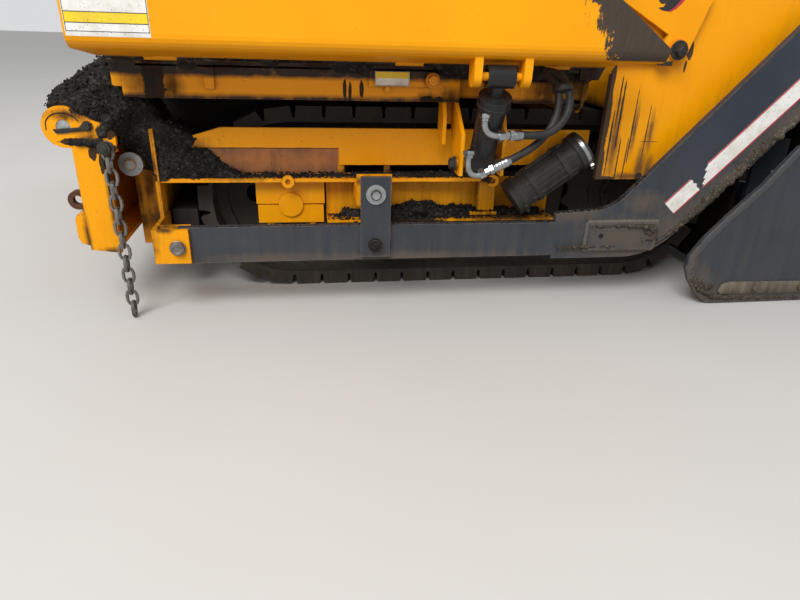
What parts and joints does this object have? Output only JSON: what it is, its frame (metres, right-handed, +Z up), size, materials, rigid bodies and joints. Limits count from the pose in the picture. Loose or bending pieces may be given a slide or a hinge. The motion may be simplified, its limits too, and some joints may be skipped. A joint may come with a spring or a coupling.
{
  "type": "tracked asphalt paver",
  "caption": "Small tracked asphalt paver with a dumping hopper, folding wings, push rollers, augers, tow arms and a floating screed with sliding extensions.",
  "frame": {"origin": "centre of the bounding box on the ground", "axes": "+X towards the screed at the rear, -Y the machine's left side, +Z up"},
  "size_m": [3.1738, 2.74, 1.82],
  "materials": {
    "paint_yellow": "gloss machine enamel, chalked and rust-streaked",
    "paint_dark": "satin blue-grey enamel, dusty, chipped",
    "paint_black": "satin black enamel",
    "auger_iron": "worn bright at the flight edges, asphalt-stained",
    "shoe_rubber": "dusty moulded rubber",
    "chrome_rod": "polished",
    "zinc_steel": "dull galvanised, rust-stained",
    "rusty_steel": "brown rust",
    "seat_vinyl": "matt grained vinyl",
    "black_rubber": "smooth black rubber"
  },
  "bodies": {
    "root": {"main_frame": "paint_yellow", "front_bumper": "paint_yellow", "tow_hooks": "rusty_steel", "side_frame_left": "paint_yellow", "side_frame_right": "paint_yellow", "bearing_blocks": "paint_yellow", "guide_straps": "paint_dark", "track_left": "shoe_rubber", "track_right": "shoe_rubber", "track_frames": "paint_dark", "track_wheels_left": "paint_dark", "track_wheels_right": "paint_dark", "chain_left": "zinc_steel", "chain_right": "zinc_steel", "side_plate_left": "paint_yellow", "side_plate_right": "paint_yellow", "rear_body": "paint_yellow", "deck": "paint_yellow", "engine": "paint_dark", "exhaust_stack": "paint_black", "fuel_tank": "paint_yellow", "hydraulic_tank": "paint_yellow", "console": "paint_dark", "seat_frames": "paint_dark", "seat_pad_left": "seat_vinyl", "seat_pad_right": "seat_vinyl", "air_duct": "black_rubber", "auger_drive": "paint_dark", "lift_brackets": "paint_yellow"},
    "roller_left": {"push_roller_left": "zinc_steel"},
    "roller_right": {"push_roller_right": "zinc_steel"},
    "auger_left": {"auger_left": "auger_iron"},
    "auger_right": {"auger_right": "auger_iron"},
    "hood": {"engine_hood": "paint_yellow"},
    "hopper": {"hopper_body": "paint_yellow", "wing_hangers": "paint_yellow"},
    "wing_left": {"wing_left": "paint_yellow"},
    "wing_right": {"wing_right": "paint_yellow"},
    "wing_barrel_left": {"wing_barrel_left": "paint_black"},
    "wing_barrel_right": {"wing_barrel_right": "paint_black"},
    "wing_rod_left": {"wing_rod_left": "chrome_rod"},
    "wing_rod_right": {"wing_rod_right": "chrome_rod"},
    "hopper_barrels": {"hopper_barrels": "paint_black"},
    "hopper_rods": {"hopper_rods": "chrome_rod"},
    "screed": {"screed_main": "paint_dark", "tow_arm_left": "paint_dark", "tow_arm_right": "paint_dark", "depth_screws": "zinc_steel", "walkboard": "paint_dark"},
    "lift_barrels": {"lift_barrels": "paint_black"},
    "lift_rods": {"lift_rods": "chrome_rod"},
    "ext_left": {"screed_ext_left": "paint_dark", "end_gate_left": "paint_dark"},
    "ext_right": {"screed_ext_right": "paint_dark", "end_gate_right": "paint_dark"}
  },
  "joints": [
    {"name": "push_roller_left_spin", "type": "hinge", "parent": "root", "child": "roller_left", "pos_m": [-1.527, -0.6, 0.606], "axis": [0, 1, 0], "continuous": true},
    {"name": "push_roller_right_spin", "type": "hinge", "parent": "root", "child": "roller_right", "pos_m": [-1.527, 0.6, 0.606], "axis": [0, 1, 0], "continuous": true},
    {"name": "auger_left_spin", "type": "hinge", "parent": "root", "child": "auger_left", "pos_m": [0.905, -0.5, 0.235], "axis": [0, 1, 0], "continuous": true},
    {"name": "auger_right_spin", "type": "hinge", "parent": "root", "child": "auger_right", "pos_m": [0.905, 0.5, 0.235], "axis": [0, 1, 0], "continuous": true},
    {"name": "hood_lift", "type": "hinge", "parent": "root", "child": "hood", "pos_m": [0.314, 0, 1.067], "axis": [0, -1, 0], "range_deg": [0, 55]},
    {"name": "hopper_tilt", "type": "hinge", "parent": "root", "child": "hopper", "pos_m": [0.38, 0, 0.86], "axis": [0, 1, 0], "range_deg": [0, 20]},
    {"name": "wing_left_fold", "type": "hinge", "parent": "hopper", "child": "wing_left", "pos_m": [-0.6, -1.126, 0.806], "axis": [-1, 0, 0], "range_deg": [0, 50]},
    {"name": "wing_barrel_left_swing", "type": "hinge", "parent": "hopper", "child": "wing_barrel_left", "pos_m": [-0.27, -1.19, 0.505], "axis": [-1, 0, 0], "range_deg": [0, 14.5]},
    {"name": "wing_rod_left_slide", "type": "slide", "parent": "wing_barrel_left", "child": "wing_rod_left", "axis": [0, -0.4327, 0.9015], "range_m": [0, 0.143]},
    {"name": "wing_right_fold", "type": "hinge", "parent": "hopper", "child": "wing_right", "pos_m": [-0.6, 1.126, 0.806], "axis": [1, 0, 0], "range_deg": [0, 50]},
    {"name": "wing_barrel_right_swing", "type": "hinge", "parent": "hopper", "child": "wing_barrel_right", "pos_m": [-0.27, 1.19, 0.505], "axis": [1, 0, 0], "range_deg": [0, 14.5]},
    {"name": "wing_rod_right_slide", "type": "slide", "parent": "wing_barrel_right", "child": "wing_rod_right", "axis": [0, 0.4327, 0.9015], "range_m": [0, 0.143]},
    {"name": "hopper_barrels_swing", "type": "hinge", "parent": "root", "child": "hopper_barrels", "pos_m": [-0.56, 0, 0.222], "axis": [0, 1, 0], "range_deg": [0, 2.4]},
    {"name": "hopper_rods_slide", "type": "slide", "parent": "hopper_barrels", "child": "hopper_rods", "axis": [-0.0777, 0, 0.997], "range_m": [0, 0.343]},
    {"name": "screed_lift", "type": "hinge", "parent": "root", "child": "screed", "pos_m": [-1.242, 0, 0.241], "axis": [0, -1, 0], "range_deg": [0, 5]},
    {"name": "lift_barrels_swing", "type": "hinge", "parent": "root", "child": "lift_barrels", "pos_m": [1.04, 0, 1], "axis": [0, -1, 0], "range_deg": [0, 2.4]},
    {"name": "lift_rods_slide", "type": "slide", "parent": "lift_barrels", "child": "lift_rods", "axis": [-0.1928, 0, 0.9812], "range_m": [0, 0.209]},
    {"name": "screed_ext_left_slide", "type": "slide", "parent": "screed", "child": "ext_left", "axis": [0, -1, 0], "range_m": [0, 0.6]},
    {"name": "screed_ext_right_slide", "type": "slide", "parent": "screed", "child": "ext_right", "axis": [0, 1, 0], "range_m": [0, 0.6]}
  ],
  "couplings": [
    {"joint": "wing_barrel_left_swing", "follows": "wing_left_fold", "ratio": 0.2887},
    {"joint": "wing_rod_left_slide", "follows": "wing_left_fold", "m_per_rad": 0.1633},
    {"joint": "wing_barrel_right_swing", "follows": "wing_right_fold", "ratio": 0.2887},
    {"joint": "wing_rod_right_slide", "follows": "wing_right_fold", "m_per_rad": 0.1633},
    {"joint": "hopper_barrels_swing", "follows": "hopper_tilt", "ratio": 0.1176},
    {"joint": "hopper_rods_slide", "follows": "hopper_tilt", "m_per_rad": 0.9811},
    {"joint": "lift_barrels_swing", "follows": "screed_lift", "ratio": 0.4651},
    {"joint": "lift_rods_slide", "follows": "screed_lift", "m_per_rad": 2.3903}
  ]
}
